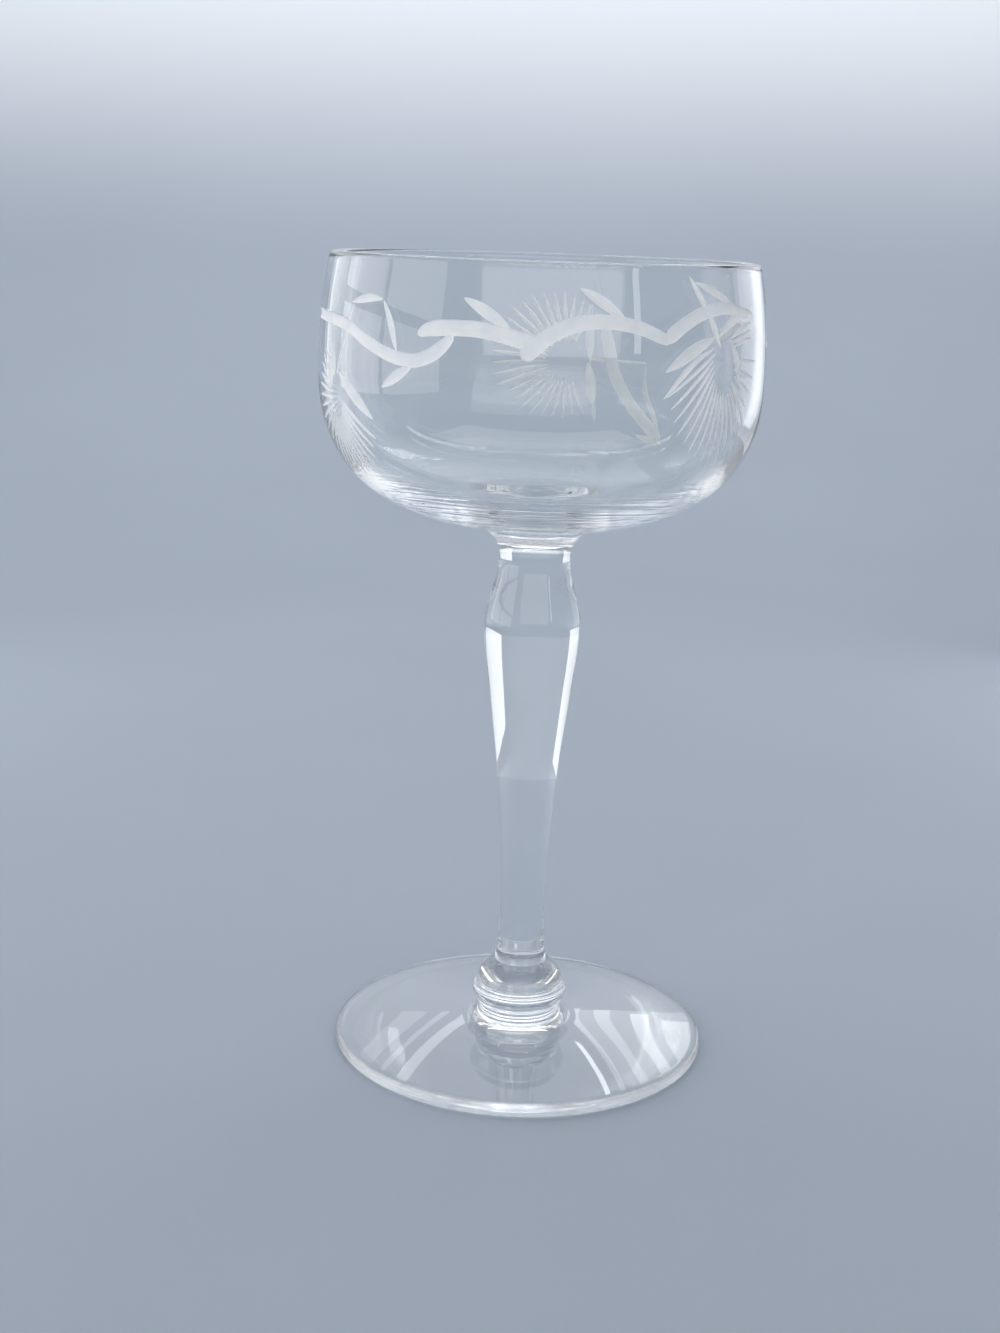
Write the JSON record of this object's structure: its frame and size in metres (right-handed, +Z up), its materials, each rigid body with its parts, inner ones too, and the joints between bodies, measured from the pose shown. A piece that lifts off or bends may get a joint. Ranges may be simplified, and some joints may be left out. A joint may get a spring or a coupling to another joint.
{
  "type": "coupe glass",
  "caption": "Footed coupe glass with a wide shallow cup, a swelling stem on a knop and collar, a round foot, and a cut flower and vine band.",
  "frame": {"origin": "middle of the foot's underside, on the plane that the glass stands on", "axes": "+Z up along the glass's axis towards the rim; -Y faces the picture's camera"},
  "size_m": [0.0806, 0.0806, 0.15],
  "materials": {
    "bowl_glass": "clear polished glass with a grey wheel-cut pattern",
    "stem_glass": "clear polished glass",
    "foot_glass": "clear polished glass, lightly worn underneath"
  },
  "bodies": {
    "root": {"bowl": "bowl_glass", "stem": "stem_glass", "knop": "stem_glass", "collar": "stem_glass", "foot": "foot_glass"}
  },
  "joints": []
}
